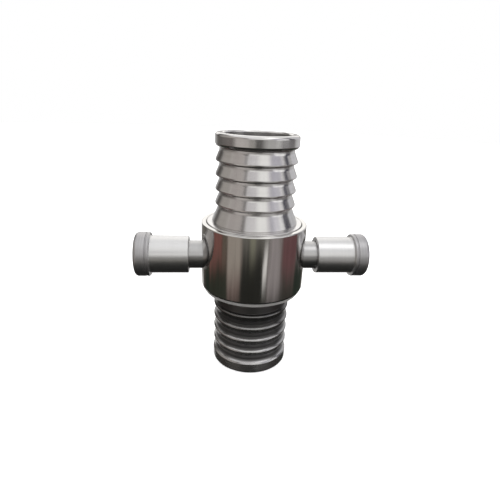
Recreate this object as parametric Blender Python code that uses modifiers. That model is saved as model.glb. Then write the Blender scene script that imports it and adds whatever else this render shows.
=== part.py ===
"""Instantaneous hose coupling: male and female halves, coupled, with two pull-release plungers.

Frame: metres, +Z up along the bore, from the female half's hose end to the male half's.
Origin: on the bore's axis, in the plane of the female half's hose end.
The two lugs lie along X, so "left" is -X and "right" is +X.
"""
from math import asin, cos, pi, radians, sin

import bmesh
import bpy
from mathutils import Matrix, Vector

MM = 0.001
GAP = 0.3 * MM

# Whole coupling
HEIGHT = 197.4 * MM
LUG_Z = 97.7 * MM
BORE_R = 26.6 * MM

# Serrated hose tails, for 63 mm hose
EDGE_R = 32.25 * MM
ROOT_R = 29.4 * MM
NECK_R = 30.2 * MM
END_R = 32.8 * MM
BARBS = 4
BARB_PITCH = 11.2 * MM
BARB_LAND = 1.0 * MM
BARB_CONE = 7.4 * MM
BARB_STEP = 2.4 * MM
LOWER_BAND = 8.9 * MM
UPPER_BAND = 9.6 * MM
BAND_TAPER = 1.6 * MM
BAND_EDGE_R = 32.0 * MM
END_ROUND = 2.6 * MM
RIM_FACE_R = 27.6 * MM

# Female half's cup
CUP_R = 43.3 * MM
CUP_TOP = 127.3 * MM
CUP_BOTTOM = 67.3 * MM
CUP_ROUND = 6.5 * MM
CUP_EDGE = 1.0 * MM
MOUTH_R = 39.2 * MM
MOUTH_EDGE = 0.6 * MM
MOUTH_FLOOR = 84.9 * MM
LIP_R = 35.0 * MM
LIP_THICK = 2.0 * MM
SEAT_Z = 74.8 * MM
SEAT_R = 37.3 * MM
TAIL_HOLE_R = 34.0 * MM

# Male half's spigot
FLARE_BASE = 129.0 * MM
FLARE_BASE_R = 34.7 * MM
COLLAR_TOP = 127.7 * MM
COLLAR_BOTTOM = 112.9 * MM
COLLAR_R = 38.8 * MM
COLLAR_EDGE = 0.4 * MM
GROOVE_R = 33.2 * MM
RING_TOP = 92.9 * MM
RING_BOTTOM = 86.6 * MM
RING_EDGE = 2.2 * MM
NOSE_R = 34.0 * MM
NOSE_END = 79.4 * MM
NOSE_EDGE = 0.8 * MM

# Sealing washer
WASHER_LIP_R = 34.5 * MM
WASHER_IN_R = 27.6 * MM
WASHER_EDGE = 0.8 * MM

# Plunger housings. Along a lug, sizes are distances from the bore's axis.
HOUSING_IN = 39.6 * MM
HOUSING_OUT = 80.0 * MM
HOUSING_R = 11.7 * MM
HOUSING_BORE_R = 8.0 * MM
HOUSING_LIP = 2.4 * MM
HOUSING_LIP_R = 5.5 * MM
HOUSING_EDGE = 0.6 * MM
WALL_HOLE_R = 12.1 * MM

# Plungers
TRAVEL = 7.0 * MM
TOOTH_TIP = 34.4 * MM
TOOTH_END = 40.4 * MM
TOOTH_FLAT = 4.5 * MM
TOOTH_NOSE = 1.0 * MM
HEAD_R = 7.6 * MM
SHOULDER = 52.6 * MM
STEM_R = 3.5 * MM
THREAD_START = 87.4 * MM
THREAD_R = 3.0 * MM
STEM_END = 96.4 * MM
STEM_EDGE = 0.5 * MM

# Guide bushes
BUSH_IN = 74.0 * MM
BUSH_R = 7.65 * MM
BUSH_BORE_R = 3.85 * MM

# Springs
WIRE_R = 0.75 * MM
COIL_R = 6.0 * MM
COIL_TURNS = 7
CLOSED_TURNS = 1
POINTS_PER_TURN = 14

# Pull knobs
SLEEVE_IN = 53.6 * MM
SLEEVE_R = 15.6 * MM
SLEEVE_BORE_R = 12.25 * MM
SLEEVE_EDGE = 0.6 * MM
RIM_IN = 84.8 * MM
RIM_R = 18.25 * MM
RIM_EDGE = 0.9 * MM
KNOB_ROUND = 3.0 * MM
KNOB_OUT = 97.0 * MM
RECESS_R = 9.6 * MM
RECESS_FLOOR = 87.5 * MM

# Knob fasteners
WASHER_THICK = 1.2 * MM
WASHER_OUT_R = 7.0 * MM
THREAD_HOLE_R = 3.3 * MM
NUT_FLATS = 10.0 * MM
NUT_THICK = 4.2 * MM
NUT_EDGE = 0.5 * MM
PIN_AT = 94.8 * MM
PIN_R = 0.34 * MM
PIN_SPLIT = 0.42 * MM
PIN_HOLE_R = 1.06 * MM
PIN_LEG = 4.6 * MM
PIN_TAIL = 1.0 * MM
PIN_SPREAD = 1.6 * MM
PIN_EYE_R = 1.5 * MM
PIN_EYE_STEPS = 14

# Guide screws, through the housing necks from below
SCREW_AT = 48.6 * MM
SCREW_R = 2.0 * MM
DOG_R = 1.2 * MM
DOG_TOP = 6.3 * MM
SLOT_FLOOR = 5.9 * MM
SLOT_HALF = 1.6 * MM

# How finely round things are divided
BODY_STEPS = 40
LUG_STEPS = 24
SMALL_STEPS = 16
ROUND_STEPS = 3
LARGE_ROUND_STEPS = 5

SIDES = {"left": -1, "right": 1}
MERGE = 0.00001

STEEL_POLISHED = ((0.62, 0.61, 0.60), 0.08, 1.0)
STEEL_TURNED = ((0.55, 0.54, 0.55), 0.30, 1.0)
STEEL_PLAIN = ((0.50, 0.50, 0.51), 0.38, 1.0)
STEEL_SPRING = ((0.42, 0.42, 0.44), 0.35, 1.0)
BRASS = ((0.62, 0.45, 0.20), 0.35, 1.0)
RUBBER = ((0.02, 0.02, 0.02), 0.75, 0.0)


def clear_scene():
    for old in list(bpy.data.objects):
        bpy.data.objects.remove(old, do_unlink=True)


def new_collection(name):
    group = bpy.data.collections.new(name)
    bpy.context.scene.collection.children.link(group)
    return group


def paint(piece, finish):
    """Give a piece its own material."""
    colour, roughness, metallic = finish
    material = bpy.data.materials.new(piece.name)
    material.use_nodes = True
    shader = material.node_tree.nodes["Principled BSDF"]
    shader.inputs["Base Color"].default_value = (*colour, 1.0)
    shader.inputs["Roughness"].default_value = roughness
    shader.inputs["Metallic"].default_value = metallic
    piece.data.materials.append(material)


def arc(centre, radius, start, end, steps=ROUND_STEPS):
    """Points (r, z) on an arc, from the start angle to the end angle, both in degrees."""
    turns = [radians(start + (end - start) * i / steps) for i in range(steps + 1)]
    return [(centre[0] + radius * cos(a), centre[1] + radius * sin(a)) for a in turns]


def add_object(name, data, group, parent=None):
    piece = bpy.data.objects.new(name, data)
    group.objects.link(piece)
    piece.parent = parent
    return piece


def turned(name, outline, steps, group, parent=None):
    """A turned piece. The outline (r, z) runs down its outer side, then up any bore.

    An outline that starts and ends on the axis makes a solid piece; any other is a closed loop.
    """
    mesh = bpy.data.meshes.new(name)
    form = bmesh.new()
    points = [form.verts.new((r, 0, z)) for r, z in outline]
    for upper, lower in zip(points, points[1:]):
        form.edges.new((upper, lower))
    solid = outline[0][0] == 0 and outline[-1][0] == 0
    if not solid:
        form.edges.new((points[-1], points[0]))
    form.to_mesh(mesh)
    form.free()
    piece = add_object(name, mesh, group, parent)
    screw = piece.modifiers.new("turn", "SCREW")
    screw.axis = "Z"
    screw.steps = steps
    screw.render_steps = steps
    screw.use_merge_vertices = True
    screw.merge_threshold = MERGE
    screw.use_smooth_shade = True
    return piece


def barb(edge_z, toward_hose):
    """One serration's points, from its side near the hose end to its root near the middle.

    toward_hose is 1 where the hose end is above, and -1 where it is below.
    """
    cone_end = edge_z + toward_hose * (BARB_LAND + BARB_CONE)
    return [
        (ROOT_R, cone_end),
        (EDGE_R, edge_z + toward_hose * BARB_LAND),
        (EDGE_R, edge_z),
        (ROOT_R, edge_z - toward_hose * BARB_STEP),
    ]


def barbs(first_edge_z, toward_hose):
    """All of one tail's serrations, from the hose end inward."""
    outline = []
    for i in range(BARBS):
        outline += barb(first_edge_z - toward_hose * i * BARB_PITCH, toward_hose)
    return outline


def cut(piece, cutter):
    boolean = piece.modifiers.new(cutter.name, "BOOLEAN")
    boolean.operation = "DIFFERENCE"
    boolean.object = cutter
    boolean.solver = "EXACT"


def hide_cutter(cutter):
    cutter.hide_render = True
    cutter.display_type = "WIRE"
    return cutter


def round_cutter(name, radius, start, end, cutters, parent=None, steps=SMALL_STEPS):
    """A cylinder along Z from start to end, for cutting."""
    mesh = bpy.data.meshes.new(name)
    form = bmesh.new()
    middle = Matrix.Translation((0, 0, (start + end) / 2))
    bmesh.ops.create_cone(
        form, cap_ends=True, segments=steps, radius1=radius, radius2=radius, depth=end - start,
        matrix=middle,
    )
    form.to_mesh(mesh)
    form.free()
    return hide_cutter(add_object(name, mesh, cutters, parent))


def box_cutter(name, low, high, cutters, parent=None):
    """A box between two corners, for cutting."""
    low, high = Vector(low), Vector(high)
    mesh = bpy.data.meshes.new(name)
    form = bmesh.new()
    bmesh.ops.create_cube(form, size=1.0)
    bmesh.ops.scale(form, vec=high - low, verts=form.verts)
    bmesh.ops.translate(form, vec=(low + high) / 2, verts=form.verts)
    form.to_mesh(mesh)
    form.free()
    return hide_cutter(add_object(name, mesh, cutters, parent))


def hose_end(end_z, band_edge_z):
    """The band on a tail's hose end, from its end face to the root of its first serration."""
    away = 1 if end_z > band_edge_z else -1
    corner = (END_R - END_ROUND, end_z - away * END_ROUND)
    points = arc(corner, END_ROUND, away * 90, 0)
    points += [
        (END_R, band_edge_z + away * BAND_TAPER),
        (BAND_EDGE_R, band_edge_z),
        (ROOT_R, band_edge_z - away * BARB_STEP),
    ]
    return points


def make_female_cup(group):
    """The cup that takes the male half: mouth, washer groove, and hole for the hose tail."""
    shoulder = (CUP_R - CUP_ROUND, CUP_BOTTOM + CUP_ROUND)
    outer = [(CUP_R - CUP_EDGE, CUP_TOP), (CUP_R, CUP_TOP - CUP_EDGE)]
    outer += arc(shoulder, CUP_ROUND, 0, -90, LARGE_ROUND_STEPS)
    inner = [
        (TAIL_HOLE_R, CUP_BOTTOM),
        (TAIL_HOLE_R, SEAT_Z),
        (SEAT_R, SEAT_Z),
        (SEAT_R, MOUTH_FLOOR - LIP_THICK),
        (LIP_R, MOUTH_FLOOR - LIP_THICK),
        (LIP_R, MOUTH_FLOOR),
        (MOUTH_R, MOUTH_FLOOR),
        (MOUTH_R, CUP_TOP - MOUTH_EDGE),
        (MOUTH_R + MOUTH_EDGE, CUP_TOP),
    ]
    return turned("female_cup", outer + inner, BODY_STEPS, group)


def make_female_tail(group):
    """The lower hose tail, screwed into the cup's floor."""
    head_r = TAIL_HOLE_R - GAP
    outer = [
        (head_r, SEAT_Z - GAP),
        (head_r, CUP_BOTTOM),
        (NECK_R, CUP_BOTTOM - GAP),
        (NECK_R, LOWER_BAND + BARBS * BARB_PITCH + BARB_STEP),
    ]
    outer += list(reversed(barbs(LOWER_BAND + BARB_PITCH, -1)))[1:]
    outer += list(reversed(hose_end(0, LOWER_BAND)))
    inner = [(BORE_R, 0), (BORE_R, SEAT_Z - GAP)]
    return turned("female_tail", outer + inner, BODY_STEPS, group)


def make_male_body(group):
    """The hose tail with its rolled end rim, the cone flare, and the spigot with its lug ring."""
    band_edge = HEIGHT - UPPER_BAND
    outer = [(RIM_FACE_R, HEIGHT)]
    outer += hose_end(HEIGHT, band_edge)
    outer += barbs(band_edge - BARB_PITCH, 1)[:-1]
    outer += [
        (NECK_R, band_edge - BARBS * BARB_PITCH - BARB_STEP),
        (FLARE_BASE_R, FLARE_BASE),
        (FLARE_BASE_R, COLLAR_TOP),
        (COLLAR_R - COLLAR_EDGE, COLLAR_TOP),
        (COLLAR_R, COLLAR_TOP - COLLAR_EDGE),
        (COLLAR_R, COLLAR_BOTTOM),
        (GROOVE_R, COLLAR_BOTTOM),
        (GROOVE_R, RING_TOP),
        (COLLAR_R, RING_TOP),
        (COLLAR_R, RING_BOTTOM + RING_EDGE),
        (COLLAR_R - RING_EDGE, RING_BOTTOM),
        (NOSE_R, RING_BOTTOM),
        (NOSE_R, NOSE_END + NOSE_EDGE),
        (NOSE_R - NOSE_EDGE, NOSE_END),
    ]
    inner = [(BORE_R, NOSE_END), (BORE_R, HEIGHT - (RIM_FACE_R - BORE_R))]
    return turned("male_body", outer + inner, BODY_STEPS, group)


def make_sealing_washer(group):
    """A rubber ring of L section: a flange under the male half's nose and a lip around it."""
    outer_r = SEAT_R - GAP
    top = MOUTH_FLOOR - LIP_THICK - GAP
    bottom = SEAT_Z + GAP
    outline = [
        (outer_r, top),
        (outer_r, bottom),
        (WASHER_IN_R, bottom),
        (WASHER_IN_R, NOSE_END - GAP),
        (WASHER_LIP_R, NOSE_END - GAP),
        (WASHER_LIP_R, top - WASHER_EDGE),
        (WASHER_LIP_R + WASHER_EDGE, top),
    ]
    return turned("sealing_washer", outline, BODY_STEPS, group)


def lug_axis(name, side, group):
    """An empty on a lug's axis, with its own +Z pointing outward along the lug."""
    empty = bpy.data.objects.new(name, None)
    group.objects.link(empty)
    empty.location = (0, 0, LUG_Z)
    empty.rotation_euler = (0, side * pi / 2, 0)
    empty.empty_display_size = RIM_R
    return empty


def lug_underside(side_name, axis, cutters):
    """An empty on a lug's axis, with its own +X pointing down on either side."""
    empty = bpy.data.objects.new(f"{side_name}_underside", None)
    cutters.objects.link(empty)
    empty.parent = axis
    empty.rotation_euler = (0, 0, 0 if side_name == "right" else pi)
    return empty


def make_housing(side_name, axis, group, cutters):
    outline = [
        (HOUSING_LIP_R, HOUSING_OUT),
        (HOUSING_R - HOUSING_EDGE, HOUSING_OUT),
        (HOUSING_R, HOUSING_OUT - HOUSING_EDGE),
        (HOUSING_R, HOUSING_IN),
        (HOUSING_BORE_R, HOUSING_IN),
        (HOUSING_BORE_R, HOUSING_OUT - HOUSING_LIP),
        (HOUSING_LIP_R, HOUSING_OUT - HOUSING_LIP),
    ]
    housing = turned(f"{side_name}_housing", outline, LUG_STEPS, group, axis)
    hole = round_cutter(
        f"{side_name}_screw_hole", SCREW_R + GAP, -HOUSING_R * 2, -HOUSING_BORE_R / 2, cutters,
    )
    hole.location = (SIDES[side_name] * SCREW_AT, 0, LUG_Z)
    cut(housing, hole)


def make_guide_bush(side_name, axis, group):
    flange_end = HOUSING_OUT - HOUSING_LIP - GAP
    outline = [
        (HOUSING_LIP_R - GAP, HOUSING_OUT - GAP),
        (HOUSING_LIP_R - GAP, flange_end),
        (BUSH_R, flange_end),
        (BUSH_R, BUSH_IN),
        (BUSH_BORE_R, BUSH_IN),
        (BUSH_BORE_R, HOUSING_OUT - GAP),
    ]
    turned(f"{side_name}_guide_bush", outline, LUG_STEPS, group, axis)


def make_plunger(side_name, axis, group, cutters):
    """A bolt whose tooth is sloped above and flat below, on a spindle with a threaded end."""
    underside = lug_underside(side_name, axis, cutters)
    outline = [
        (0, STEM_END),
        (THREAD_R - STEM_EDGE, STEM_END),
        (THREAD_R, STEM_END - STEM_EDGE),
        (THREAD_R, THREAD_START),
        (STEM_R, THREAD_START),
        (STEM_R, SHOULDER),
        (HEAD_R, SHOULDER),
        (HEAD_R, TOOTH_TIP),
        (0, TOOTH_TIP),
    ]
    plunger = turned(f"{side_name}_plunger", outline, LUG_STEPS, group, axis)
    below = box_cutter(
        f"{side_name}_tooth_flat",
        (TOOTH_FLAT, -2 * HEAD_R, TOOTH_TIP - HEAD_R),
        (2 * HEAD_R, 2 * HEAD_R, TOOTH_END),
        cutters, underside,
    )
    slope = box_cutter(
        f"{side_name}_tooth_slope",
        (-2 * HEAD_R, -2 * HEAD_R, -4 * HEAD_R),
        (2 * HEAD_R, 2 * HEAD_R, 0),
        cutters, underside,
    )
    slope.location = (-TOOTH_NOSE, 0, TOOTH_TIP)
    slope.rotation_euler = (0, pi / 4, 0)
    slot = box_cutter(
        f"{side_name}_guide_slot",
        (SLOT_FLOOR, -SLOT_HALF, SCREW_AT - TRAVEL - SLOT_HALF),
        (2 * HEAD_R, SLOT_HALF, SCREW_AT + SLOT_HALF),
        cutters, underside,
    )
    pin_hole = round_cutter(
        f"{side_name}_pin_hole", PIN_HOLE_R, -STEM_R * 2, STEM_R * 2, cutters, axis, steps=12
    )
    pin_hole.location = (0, 0, PIN_AT)
    pin_hole.rotation_euler = (pi / 2, 0, 0)
    for cutter in (below, slope, slot, pin_hole):
        cut(plunger, cutter)


def coil_point(turn, start, end):
    """A point on the spring's wire, a number of turns from its inner end."""
    closed_pitch = 2 * WIRE_R + GAP / 3
    open_turns = COIL_TURNS - 2 * CLOSED_TURNS
    open_pitch = (end - start - 2 * CLOSED_TURNS * closed_pitch) / open_turns
    first = min(turn, CLOSED_TURNS) * closed_pitch
    middle = max(0, min(turn - CLOSED_TURNS, open_turns)) * open_pitch
    last = max(0, turn - CLOSED_TURNS - open_turns) * closed_pitch
    angle = 2 * pi * turn
    return (COIL_R * cos(angle), COIL_R * sin(angle), start + first + middle + last)


def wire(name, points, radius, group, parent):
    """Round wire along a row of points."""
    curve = bpy.data.curves.new(name, "CURVE")
    curve.dimensions = "3D"
    curve.bevel_depth = radius
    curve.bevel_resolution = 1
    curve.use_fill_caps = True
    spline = curve.splines.new("POLY")
    spline.points.add(len(points) - 1)
    for point, place in zip(spline.points, points):
        point.co = (*place, 1.0)
    return add_object(name, curve, group, parent)


def make_spring(side_name, axis, group):
    start = SHOULDER + GAP + WIRE_R
    end = BUSH_IN - GAP - WIRE_R
    count = COIL_TURNS * POINTS_PER_TURN
    points = [coil_point(i / POINTS_PER_TURN, start, end) for i in range(count + 1)]
    wire(f"{side_name}_spring", points, WIRE_R, group, axis)


def make_pull_knob(side_name, axis, group):
    """A hollow knob: a sleeve over the housing, a web on its end, and a heavy rim."""
    corner = (RIM_R - KNOB_ROUND, KNOB_OUT - KNOB_ROUND)
    outline = [(RECESS_R, KNOB_OUT)]
    outline += arc(corner, KNOB_ROUND, 90, 0, LARGE_ROUND_STEPS)
    outline += [
        (RIM_R, RIM_IN + RIM_EDGE),
        (RIM_R - RIM_EDGE, RIM_IN),
        (SLEEVE_R, RIM_IN),
        (SLEEVE_R, SLEEVE_IN + SLEEVE_EDGE),
        (SLEEVE_R - SLEEVE_EDGE, SLEEVE_IN),
        (SLEEVE_BORE_R, SLEEVE_IN),
        (SLEEVE_BORE_R, HOUSING_OUT + GAP),
        (BUSH_BORE_R, HOUSING_OUT + GAP),
        (BUSH_BORE_R, RECESS_FLOOR),
        (RECESS_R, RECESS_FLOOR),
    ]
    turned(f"{side_name}_pull_knob", outline, LUG_STEPS, group, axis)


def make_knob_washer(side_name, axis, group):
    inner = RECESS_FLOOR + GAP
    outline = [
        (THREAD_HOLE_R, inner + WASHER_THICK),
        (WASHER_OUT_R, inner + WASHER_THICK),
        (WASHER_OUT_R, inner),
        (THREAD_HOLE_R, inner),
    ]
    turned(f"{side_name}_knob_washer", outline, SMALL_STEPS, group, axis)


def make_knob_nut(side_name, axis, group, cutters):
    """A hexagon nut with bevelled faces and a plain hole."""
    name = f"{side_name}_knob_nut"
    inner = RECESS_FLOOR + WASHER_THICK + 2 * GAP
    corner_r = NUT_FLATS / 2 / cos(pi / 6)
    mesh = bpy.data.meshes.new(name)
    form = bmesh.new()
    bmesh.ops.create_cone(
        form, cap_ends=True, segments=6, radius1=corner_r, radius2=corner_r, depth=NUT_THICK,
        matrix=Matrix.Translation((0, 0, inner + NUT_THICK / 2)),
    )
    rims = [edge for edge in form.edges if abs(edge.verts[0].co.z - edge.verts[1].co.z) < MERGE]
    bmesh.ops.bevel(form, geom=rims, offset=NUT_EDGE, segments=1, affect="EDGES")
    form.to_mesh(mesh)
    form.free()
    nut = add_object(name, mesh, group, axis)
    hole = round_cutter(
        f"{side_name}_nut_hole", THREAD_HOLE_R, inner - NUT_THICK, inner + 2 * NUT_THICK,
        cutters, axis,
    )
    cut(nut, hole)


def make_split_pin(side_name, axis, group):
    """A pin of doubled wire through the spindle end: an eye at one end and spread tails."""
    mouth = asin(PIN_SPLIT / PIN_EYE_R)
    eye_centre = -PIN_LEG - PIN_EYE_R * cos(mouth)
    turns = [mouth + (2 * pi - 2 * mouth) * i / PIN_EYE_STEPS for i in range(PIN_EYE_STEPS + 1)]
    eye = [(-PIN_EYE_R * sin(a), eye_centre + PIN_EYE_R * cos(a)) for a in turns]
    points = [(-PIN_SPREAD, PIN_LEG + PIN_TAIL), (-PIN_SPLIT, PIN_LEG)]
    points += eye
    points += [(PIN_SPLIT, PIN_LEG), (PIN_SPREAD, PIN_LEG + PIN_TAIL)]
    wire(f"{side_name}_split_pin", [(x, y, PIN_AT) for x, y in points], PIN_R, group, axis)


def make_guide_screw(side_name, group):
    """A dog-point screw, standing upright below the plunger."""
    head_end = -HOUSING_R + GAP
    outline = [
        (0, -DOG_TOP),
        (DOG_R, -DOG_TOP),
        (DOG_R, -HEAD_R - GAP),
        (SCREW_R, -HEAD_R - GAP - (SCREW_R - DOG_R)),
        (SCREW_R, head_end),
        (0, head_end),
    ]
    screw = turned(f"{side_name}_guide_screw", outline, SMALL_STEPS, group)
    screw.location = (SIDES[side_name] * SCREW_AT, 0, LUG_Z)
    return screw


def make_lug(side_name, female_cup, group, cutters):
    """One side's plunger, with everything that holds, springs and pulls it."""
    side = SIDES[side_name]
    fixed = lug_axis(f"{side_name}_housing_axis", side, group)
    sliding = lug_axis(f"{side_name}_pull_axis", side, group)
    wall_hole = round_cutter(
        f"{side_name}_wall_hole", WALL_HOLE_R, GROOVE_R, CUP_R + WALL_HOLE_R, cutters, fixed,
        steps=LUG_STEPS,
    )
    cut(female_cup, wall_hole)
    make_housing(side_name, fixed, group, cutters)
    make_guide_bush(side_name, fixed, group)
    make_guide_screw(side_name, group)
    make_spring(side_name, fixed, group)
    make_plunger(side_name, sliding, group, cutters)
    make_pull_knob(side_name, sliding, group)
    make_knob_washer(side_name, sliding, group)
    make_knob_nut(side_name, sliding, group, cutters)
    make_split_pin(side_name, sliding, group)


FINISHES = {
    "female_cup": STEEL_POLISHED,
    "female_tail": STEEL_TURNED,
    "male_body": STEEL_TURNED,
    "sealing_washer": RUBBER,
    "housing": STEEL_TURNED,
    "guide_bush": BRASS,
    "guide_screw": STEEL_PLAIN,
    "plunger": STEEL_TURNED,
    "spring": STEEL_SPRING,
    "pull_knob": STEEL_TURNED,
    "knob_washer": STEEL_PLAIN,
    "knob_nut": STEEL_PLAIN,
    "split_pin": STEEL_PLAIN,
}


def finish_of(name):
    for side_name in SIDES:
        name = name.removeprefix(f"{side_name}_")
    return FINISHES[name]


def main():
    clear_scene()
    group = new_collection("hose_coupling")
    cutters = new_collection("cutters")
    female_cup = make_female_cup(group)
    make_female_tail(group)
    make_male_body(group)
    make_sealing_washer(group)
    for side_name in SIDES:
        make_lug(side_name, female_cup, group, cutters)
    for piece in group.objects:
        if piece.type != "EMPTY":
            paint(piece, finish_of(piece.name))


main()
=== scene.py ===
"""Visual model of the instantaneous hose coupling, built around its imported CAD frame.

Metres, +Z up the bore. The two lugs lie along X, and the camera looks roughly along +Y.
"""
from math import asin, ceil, cos, floor, pi, radians, sin, tan

import bmesh
import bpy
from mathutils import Matrix, Vector


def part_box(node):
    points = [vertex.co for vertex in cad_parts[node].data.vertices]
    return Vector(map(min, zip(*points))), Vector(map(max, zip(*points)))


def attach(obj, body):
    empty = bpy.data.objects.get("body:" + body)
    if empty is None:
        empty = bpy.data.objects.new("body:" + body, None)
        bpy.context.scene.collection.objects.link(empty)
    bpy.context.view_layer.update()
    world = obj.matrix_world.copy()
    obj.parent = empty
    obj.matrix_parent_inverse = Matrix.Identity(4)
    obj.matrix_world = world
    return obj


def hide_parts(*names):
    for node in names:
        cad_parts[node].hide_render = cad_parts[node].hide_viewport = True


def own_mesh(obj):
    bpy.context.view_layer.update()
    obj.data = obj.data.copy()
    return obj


MM = 0.001
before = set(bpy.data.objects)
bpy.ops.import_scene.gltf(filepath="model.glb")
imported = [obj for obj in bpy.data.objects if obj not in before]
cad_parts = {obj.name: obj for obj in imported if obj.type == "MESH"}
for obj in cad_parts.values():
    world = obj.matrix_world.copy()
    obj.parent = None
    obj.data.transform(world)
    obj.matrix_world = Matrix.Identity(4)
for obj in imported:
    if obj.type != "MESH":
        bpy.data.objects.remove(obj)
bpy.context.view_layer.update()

SIDES = {"left": -1, "right": 1}

# How finely round shapes are divided
BODY_STEPS = 224
LUG_STEPS = 128
SMALL_STEPS = 64
SCREW_STEPS = 48
PIN_HOLE_STEPS = 24
FILLET_STEP = radians(15)

# A corner that turns less is left alone, and an edge that turns more is shaded sharp
STRAIGHT = radians(1)
SHARP = radians(34)

# The most of an edge's length that one rounding takes
ROUNDING_SHARE = 0.45

# Points nearer than this are one, and a radius below this is on the axis, in metres
WELD = 1e-7
ON_AXIS = 1e-9

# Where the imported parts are
cup_low, cup_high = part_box("female_cup")
tail_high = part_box("female_tail")[1]
male_low, male_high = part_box("male_body")
knob_low, knob_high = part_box("right_pull_knob")
housing_low, housing_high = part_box("right_housing")
plunger_low, plunger_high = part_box("right_plunger")
bush_low, bush_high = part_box("right_guide_bush")
screw_low, screw_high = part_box("right_guide_screw")
pin_low, pin_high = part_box("right_split_pin")
nut_low, nut_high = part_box("right_knob_nut")
washer_low, washer_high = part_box("right_knob_washer")
seal_low, seal_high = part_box("sealing_washer")
LUG_Z = (knob_low.z + knob_high.z) / 2
PIN_X = (pin_low.x + pin_high.x) / 2
SCREW_X = (screw_low.x + screw_high.x) / 2

# Serrated hose tails. The upper tail's steps are sharp, and the lower tail's are worn round.
BORE_R = 26.6 * MM
EDGE_R = 32.25 * MM
ROOT_R = 29.4 * MM
NECK_R = 30.2 * MM
END_R = 32.8 * MM
BARBS = 4
BARB_PITCH = 11.2 * MM
BARB_LAND = 1.0 * MM
BARB_STEP = 1.3 * MM
BARB_EDGE = 0.3 * MM
BARB_ROOT = 0.4 * MM
ROOT_LAND = 2.2 * MM
ROOT_BEND = 7.0 * MM
WORN_EDGE_R = 33.0 * MM
WORN_EDGE = 1.9 * MM
WORN_ROOT = 0.4 * MM
WORN_STEP = 1.5 * MM
WORN_LIFT = 1.5 * MM
LOWER_BAND = 8.9 * MM
UPPER_BAND = 9.6 * MM
BAND_TAPER = 1.6 * MM
BAND_EDGE_R = 32.0 * MM
END_ROUND = 2.6 * MM
MOUTH_FLARE = 1.0 * MM

# How much small edges are rounded, from least to most
HAIR = 0.1 * MM
CRISP = 0.2 * MM
FINE = 0.25 * MM
EASED = 0.3 * MM
SOFT = 0.5 * MM
BROAD = 0.8 * MM


# ---------------------------------------------------------------- shapes

def rounded(corners):
    """Points (r, z) on a closed outline whose corners (r, z, radius) are rounded."""
    points = []
    count = len(corners)
    for i, (r, z, radius) in enumerate(corners):
        here = Vector((r, z))
        back = Vector(corners[i - 1][:2]) - here
        ahead = Vector(corners[(i + 1) % count][:2]) - here
        turn = pi - back.angle(ahead)
        if radius == 0 or r == 0 or turn < STRAIGHT:
            points.append((r, z))
            continue
        longest = ROUNDING_SHARE * min(back.length, ahead.length)
        reach = min(radius * tan(turn / 2), longest)
        radius = reach / tan(turn / 2)
        middle = (back.normalized() + ahead.normalized()).normalized()
        centre = here + middle * (radius / cos(turn / 2))
        start = here + back.normalized() * reach - centre
        end = here + ahead.normalized() * reach - centre
        sweep = start.angle_signed(end)
        steps = max(2, ceil(abs(sweep) / FILLET_STEP))
        for k in range(steps + 1):
            arm = start.copy()
            arm.rotate(Matrix.Rotation(-sweep * k / steps, 2))
            points.append(tuple(centre + arm))
    return points


def placed(name, form):
    """Turns a bmesh into an object in the scene."""
    mesh = bpy.data.meshes.new(name)
    form.to_mesh(mesh)
    form.free()
    piece = bpy.data.objects.new(name, mesh)
    bpy.context.scene.collection.objects.link(piece)
    return piece


def new_piece(name, points, faces):
    form = bmesh.new()
    corners = [form.verts.new(point) for point in points]
    for face in faces:
        form.faces.new([corners[i] for i in face])
    bmesh.ops.recalc_face_normals(form, faces=form.faces)
    return placed(name, form)


def lathe(name, outline, steps, radius_at=None):
    """A closed turned piece about Z. An outline point on the axis becomes one shared vertex."""
    points, rings, faces = [], [], []
    for r, z in outline:
        if r < ON_AXIS:
            rings.append([len(points)] * steps)
            points.append((0, 0, z))
            continue
        rings.append(list(range(len(points), len(points) + steps)))
        for k in range(steps):
            turn = 2 * pi * k / steps
            here = r if radius_at is None else radius_at(r, z, turn)
            points.append((here * cos(turn), here * sin(turn), z))
    open_ended = outline[0][0] < ON_AXIS and outline[-1][0] < ON_AXIS
    pairs = list(zip(rings, rings[1:]))
    if not open_ended:
        pairs.append((rings[-1], rings[0]))
    for first, second in pairs:
        for k in range(steps):
            n = (k + 1) % steps
            corners = [first[k], first[n], second[n], second[k]]
            faces.append(list(dict.fromkeys(corners)))
    return new_piece(name, points, faces)


def along_lug(piece, side):
    """Turns a piece made about Z so that its Z points outward along a lug, and lifts it there."""
    turn = Matrix.Rotation(side * pi / 2, 4, "Y")
    piece.data.transform(turn)
    piece.location = (0, 0, LUG_Z)
    return piece


def finished(piece):
    """Marks sharp edges, and weights normals so that flats next to small fillets stay flat."""
    piece.data.polygons.foreach_set("use_smooth", [True] * len(piece.data.polygons))
    piece.data.set_sharp_from_angle(angle=SHARP)
    normals = piece.modifiers.new("normals", "WEIGHTED_NORMAL")
    normals.keep_sharp = True
    return piece


def box_cutter(low, high):
    low, high = Vector(low), Vector(high)
    form = bmesh.new()
    bmesh.ops.create_cube(form, size=1.0)
    bmesh.ops.scale(form, vec=high - low, verts=form.verts)
    bmesh.ops.translate(form, vec=(low + high) / 2, verts=form.verts)
    return placed("cutter", form)


def rod_cutter(radius, low, high, bevel=0, steps=SMALL_STEPS):
    """A cylinder along Z for cutting, flared by a bevel at its high end."""
    outline = [(0, high), (radius + bevel, high), (radius, high - bevel), (radius, low), (0, low)]
    if bevel == 0:
        outline.pop(2)
    return lathe("cutter", outline, steps)


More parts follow.
